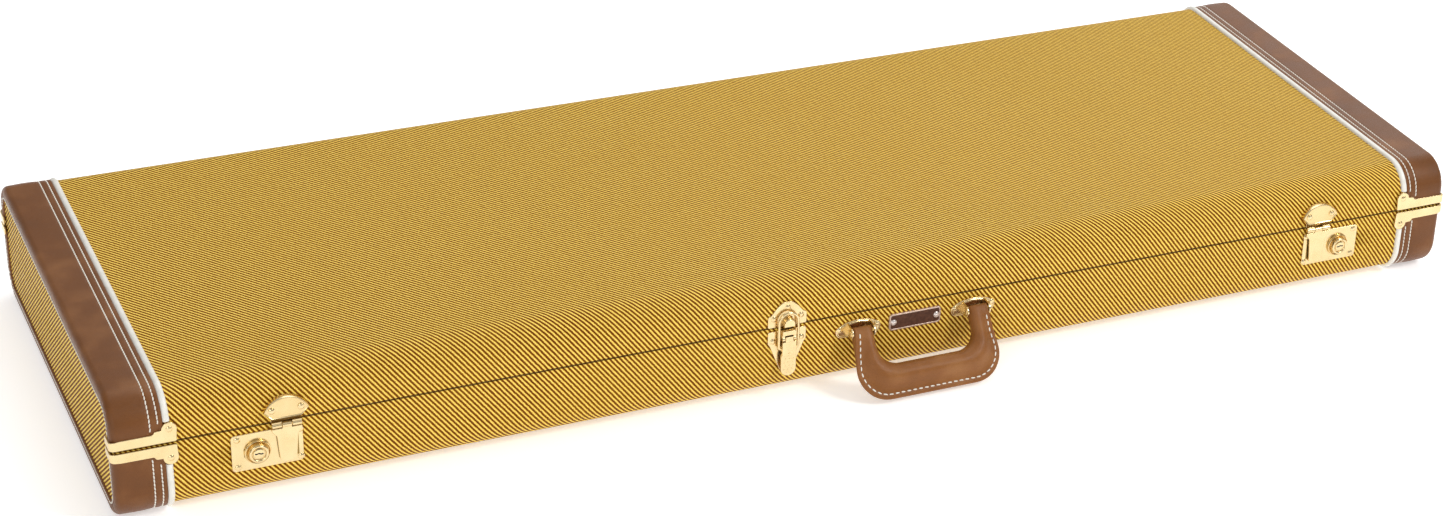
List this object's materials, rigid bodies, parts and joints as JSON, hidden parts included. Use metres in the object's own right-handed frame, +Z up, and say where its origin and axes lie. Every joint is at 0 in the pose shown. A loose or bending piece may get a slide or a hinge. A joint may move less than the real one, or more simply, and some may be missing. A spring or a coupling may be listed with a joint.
{
  "type": "guitar case",
  "caption": "Flat rectangular hardshell case for an electric guitar, hinged lid, carrying handle, two key locks and a draw latch.",
  "frame": {"origin": "on the floor, under the middle of the whole object's footprint with the handle and hinges", "axes": "+X along the case from the neck end to the body end, +Y from the handle side to the hinge side, +Z up"},
  "size_m": [1.056, 0.4054, 0.096],
  "materials": {
    "tweed": "golden yellow and brown diagonal twill cloth, lacquered",
    "leather": "brown grained leather with white stitching",
    "piping": "off-white vinyl piping",
    "plywood": "raw plywood",
    "gold": "polished pale gold plate",
    "badge": "dark brown enamel with a light border",
    "plush": "short-pile plush",
    "lined_wood": "thin board covered in short-pile plush"
  },
  "bodies": {
    "base": {"accessory_box": "lined_wood", "badge_plate": "badge", "base_bottom_panel": "plywood", "base_corner_clamps": "gold", "base_edge_mouldings": "plywood", "base_front_wall": "plywood", "base_leather_cap_left": "leather", "base_leather_cap_right": "leather", "base_left_end_wall": "plywood", "base_piping_left": "piping", "base_piping_right": "piping", "base_rear_wall": "plywood", "base_right_end_wall": "plywood", "base_rivets": "gold", "base_tweed_cover": "tweed", "draw_latch_base_plate": "gold", "draw_latch_pin": "gold", "floor_pad": "plush", "handle_bracket_left": "gold", "handle_bracket_right": "gold", "handle_pins": "gold", "hinge_pins": "gold", "left_lock_plate": "gold", "lower_hinge_leaves": "gold", "neck_rest": "plush", "neck_side_block": "plush", "right_lock_plate": "gold", "wall_padding": "plush"},
    "lid": {"lid_corner_clamps": "gold", "lid_edge_mouldings": "plywood", "lid_front_wall": "plywood", "lid_leather_cap_left": "leather", "lid_leather_cap_right": "leather", "lid_left_end_wall": "plywood", "lid_pad": "plush", "lid_piping_left": "piping", "lid_piping_right": "piping", "lid_rear_wall": "plywood", "lid_right_end_wall": "plywood", "lid_rivets": "gold", "lid_top_panel": "plywood", "lid_tweed_cover": "tweed", "left_hasp_plate": "gold", "right_hasp_plate": "gold", "hasp_pins": "gold", "draw_latch_hook_plate": "gold", "upper_hinge_leaves": "gold"},
    "left_hasp": {"left_hasp": "gold"},
    "right_hasp": {"right_hasp": "gold"},
    "left_lock_slide": {"left_lock_slide": "gold"},
    "right_lock_slide": {"right_lock_slide": "gold"},
    "left_key_plug": {"left_key_plug": "gold"},
    "right_key_plug": {"right_key_plug": "gold"},
    "draw_latch_lever": {"draw_latch_lever": "gold"},
    "draw_latch_bail": {"draw_latch_bail": "gold"},
    "handle": {"handle_grip": "leather"},
    "accessory_lid": {"accessory_lid": "lined_wood", "accessory_pull_tab": "leather"}
  },
  "joints": [
    {"name": "lid_hinge", "type": "hinge", "parent": "base", "child": "lid", "pos_m": [0, 0.1997, 0.0595], "axis": [-1, 0, 0], "range_deg": [0, 100]},
    {"name": "accessory_lid_hinge", "type": "hinge", "parent": "base", "child": "accessory_lid", "pos_m": [-0.195, 0.1761, 0.0502], "axis": [-1, 0, 0], "range_deg": [0, 90.5]},
    {"name": "draw_lever_pivot", "type": "hinge", "parent": "base", "child": "draw_latch_lever", "pos_m": [-0.0423, -0.1634, 0.0515], "axis": [-1, 0, 0], "range_deg": [0, 114]},
    {"name": "draw_bail_pivot", "type": "hinge", "parent": "draw_latch_lever", "child": "draw_latch_bail", "pos_m": [-0.0423, -0.1627, 0.043], "axis": [-1, 0, 0], "range_deg": [-114.5, 0]},
    {"name": "handle_pivot", "type": "hinge", "parent": "base", "child": "handle", "pos_m": [0.0616, -0.1668, 0.0475], "axis": [-1, 0, 0], "range_deg": [0, 125]},
    {"name": "left_hasp_hinge", "type": "hinge", "parent": "lid", "child": "left_hasp", "pos_m": [-0.4099, -0.16125, 0.0579], "axis": [-1, 0, 0], "range_deg": [0, 120]},
    {"name": "left_lock_slide_travel", "type": "slide", "parent": "base", "child": "left_lock_slide", "axis": [-1, 0, 0], "range_m": [0, 0.006], "stiffness_N_per_m": 250},
    {"name": "left_key_turn", "type": "hinge", "parent": "left_lock_slide", "child": "left_key_plug", "pos_m": [-0.4305, -0.1613, 0.0402], "axis": [0, 1, 0], "range_deg": [0, 90]},
    {"name": "right_hasp_hinge", "type": "hinge", "parent": "lid", "child": "right_hasp", "pos_m": [0.4099, -0.16125, 0.0579], "axis": [-1, 0, 0], "range_deg": [0, 120]},
    {"name": "right_lock_slide_travel", "type": "slide", "parent": "base", "child": "right_lock_slide", "axis": [1, 0, 0], "range_m": [0, 0.006], "stiffness_N_per_m": 250},
    {"name": "right_key_turn", "type": "hinge", "parent": "right_lock_slide", "child": "right_key_plug", "pos_m": [0.4305, -0.1613, 0.0402], "axis": [0, 1, 0], "range_deg": [0, 90]}
  ],
  "couplings": [
    {"joint": "accessory_lid_hinge", "follows": "lid_hinge", "ratio": 0.9},
    {"joint": "draw_bail_pivot", "follows": "draw_lever_pivot", "ratio": -1}
  ]
}
